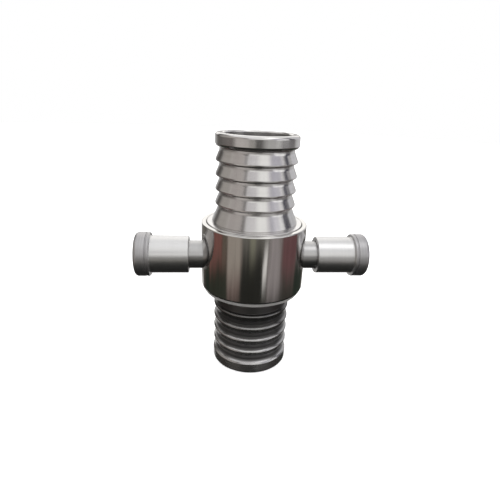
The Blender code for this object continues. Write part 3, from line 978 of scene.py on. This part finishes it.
# Panels: azimuth from and to, elevation from and to, colour, softness in degrees.
# Azimuth 0 is in front of the coupling, and positive is to its right.
PANELS = [
    # above the horizon
    (-152, -124, 0, 45, (0.25, 0.24, 0.23), 12),
    (-124, -84, 0, 45, (0.55, 0.535, 0.515), 12),
    (-84, -40, 3, 45, (0.59, 0.57, 0.555), 14),
    (-42, -29, 14, 38, (0.36, 0.345, 0.34), 8),
    (-28, 31, 10, 60, (0.86, 0.86, 0.85), 10),
    (-28, -2, 25.5, 40, (0.62, 0.61, 0.62), 8),
    (36, 76, 3, 45, (0.62, 0.615, 0.645), 12),
    (48, 88, 1, 18, (0.94, 0.94, 0.94), 12),
    (84, 104, 0, 45, (0.20, 0.195, 0.24), 8),
    (107, 145, 0, 60, (0.70, 0.70, 0.71), 8),
    (152, 180, 8, 60, (0.93, 0.925, 0.915), 14),
    (-180, -152, 8, 60, (0.93, 0.925, 0.915), 14),
    (8, 46, 40, 74, (0.78, 0.78, 0.78), 12),
    # near the horizon
    (-135, -98, -16, -1, (0.29, 0.28, 0.27), 14),
    (-98, -66, -16, -1, (0.35, 0.335, 0.325), 14),
    (-66, -24, -16, 0, (0.68, 0.665, 0.65), 14),
    (-24, -11, -16, 0, (0.55, 0.54, 0.52), 8),
    (-13, 9, -14, 2, (0.26, 0.255, 0.25), 8),
    (13, 58, -16, 0, (0.62, 0.62, 0.61), 12),
    (60, 108, -16, -1, (0.43, 0.425, 0.425), 14),
    (114, 150, -16, 0, (0.66, 0.66, 0.66), 12),
    (150, 180, -18, 0, (0.62, 0.62, 0.62), 16),
    (-180, -150, -18, 0, (0.62, 0.62, 0.62), 16),
    # on the ground
    (-118, -62, -34, -22.6, (0.16, 0.17, 0.145), 14),
    (-118, -66, -23, -15, (0.40, 0.27, 0.25), 14),
    (-77, -61, -23, -14, (0.31, 0.28, 0.25), 8),
    (-60, -32, -28, -15, (0.37, 0.31, 0.295), 14),
    (-60, -31, -25, -15, (0.53, 0.50, 0.47), 14),
    (-30, 15, -40, -21.5, (0.13, 0.13, 0.12), 10),
    (-15, -1, -21.5, -16, (0.46, 0.455, 0.40), 9),
    (16.5, 24, -25.3, -21.2, (0.82, 0.81, 0.80), 6),
    (28, 58, -27, -16, (0.50, 0.475, 0.475), 16),
    (60, 100, -24, -16, (0.35, 0.25, 0.255), 16),
    (102, 135, -34, -21, (0.15, 0.17, 0.15), 12),
    (100, 128, -21, -13, (0.45, 0.42, 0.42), 12),
    (-135, -112, -34, -22.5, (0.13, 0.15, 0.13), 12),
    # pale ground far behind, seen at grazing angles round the cup's foot
    (148, 180, -46, -24, (0.75, 0.745, 0.74), 12),
    (-180, -148, -46, -24, (0.75, 0.745, 0.74), 12),
]
STEEL_REFLECTS = 0.62
PANEL_SOFTNESS = 5

# Ripples that bend the panels, in degrees, and streaks that lighten and dim them
RIPPLE_SCALE, RIPPLE_TURNS, RIPPLE_LIFTS = 5.0, 30.0, 6.0
STREAK_SCALE, STREAK_RISE = 0.16, 0.05
STREAK_DEPTH, STREAK_LEAST = 0.9, 0.55
FILL = (1.5, 1.5, 1.5)
BACKDROP = (1.0, 1.0, 1.0)


def seen(colour):
    """Light that looks like this display colour when the steel reflects it."""
    linear = [c / 12.92 if c <= 0.04045 else ((c + 0.055) / 1.055) ** 2.4 for c in colour]
    return tuple(c / STEEL_REFLECTS for c in linear)


def make_surroundings():
    """A sky with panels for the metal to mirror, an even fill, and a white backdrop."""
    world = bpy.data.worlds.new("studio")
    bpy.context.scene.world = world
    world.use_nodes = True
    tree = world.node_tree
    tree.nodes.clear()
    way = node(tree, "ShaderNodeTexCoord").outputs["Generated"]
    x, y, z = node(tree, "ShaderNodeSeparateXYZ", Vector=way).outputs
    azimuth = maths(tree, "ARCTAN2", x, maths(tree, "MULTIPLY", y, -1.0))
    azimuth = maths(tree, "MULTIPLY", azimuth, 180 / pi)
    height = maths(tree, "MULTIPLY", maths(tree, "ARCSINE", z), 180 / pi)
    stops = [((elevation + 90) / 180, seen(shade)) for elevation, shade in SKY]
    colour = ramp(tree, fade(tree, height, -90.0, 90.0), stops)

    def edge(value, at, soft, rising):
        low, high = at - soft / 2, at + soft / 2
        ends = (0.0, 1.0) if rising else (1.0, 0.0)
        return fade(tree, value, low, high, *ends, smooth=True)

    ripple = node(tree, "ShaderNodeTexNoise", Vector=way, Scale=RIPPLE_SCALE, Detail=4.0)
    turned = maths(tree, "MULTIPLY_ADD", ripple, RIPPLE_TURNS, -RIPPLE_TURNS / 2)
    azimuth = maths(tree, "ADD", azimuth, turned)
    lifted = maths(tree, "MULTIPLY_ADD", ripple, RIPPLE_LIFTS, -RIPPLE_LIFTS / 2)
    height = maths(tree, "ADD", height, lifted)
    for left, right, low, high, shade, soft in PANELS:
        above = edge(height, low, PANEL_SOFTNESS, True)
        below = edge(height, high, PANEL_SOFTNESS, False)
        mask = maths(tree, "MULTIPLY", above, below)
        if left > -180:
            mask = maths(tree, "MULTIPLY", mask, edge(azimuth, left, soft, True))
        if right < 180:
            mask = maths(tree, "MULTIPLY", mask, edge(azimuth, right, soft, False))
        colour = mixed(tree, mask, colour, seen(shade))
    flattened = maths(tree, "MULTIPLY", height, STREAK_RISE)
    streaks = node(tree, "ShaderNodeCombineXYZ", X=azimuth, Y=flattened)
    streaks = node(
        tree, "ShaderNodeTexNoise", Vector=streaks, Scale=STREAK_SCALE, Detail=3.0,
        Roughness=0.6,
    )
    dimmed = maths(tree, "MULTIPLY_ADD", streaks, STREAK_DEPTH, STREAK_LEAST)
    colour = node(tree, "ShaderNodeVectorMath", operation="SCALE", _0=colour, Scale=dimmed)
    path = node(tree, "ShaderNodeLightPath")
    colour = mixed(tree, path.outputs["Is Glossy Ray"], FILL, colour)
    colour = mixed(tree, path.outputs["Is Camera Ray"], colour, BACKDROP)
    background = node(tree, "ShaderNodeBackground", Color=colour, Strength=1.0)
    node(tree, "ShaderNodeOutputWorld", Surface=background)


def make_softbox(name, place, size, power):
    """A rectangular lamp that points at the middle of the coupling."""
    middle = Vector((0, 0, 0.1))
    data = bpy.data.lights.new(name, "AREA")
    data.shape = "RECTANGLE"
    data.size, data.size_y = size
    data.energy = power
    lamp = bpy.data.objects.new(name, data)
    lamp.location = place
    aim = middle - Vector(place)
    lamp.rotation_euler = aim.to_track_quat("-Z", "Y").to_euler()
    bpy.context.scene.collection.objects.link(lamp)


make_camera()
make_floor()
make_surroundings()
make_softbox("key", (0.35, -0.25, 1.1), (0.5, 0.5), 0.8)
bpy.context.scene.view_settings.view_transform = "Standard"
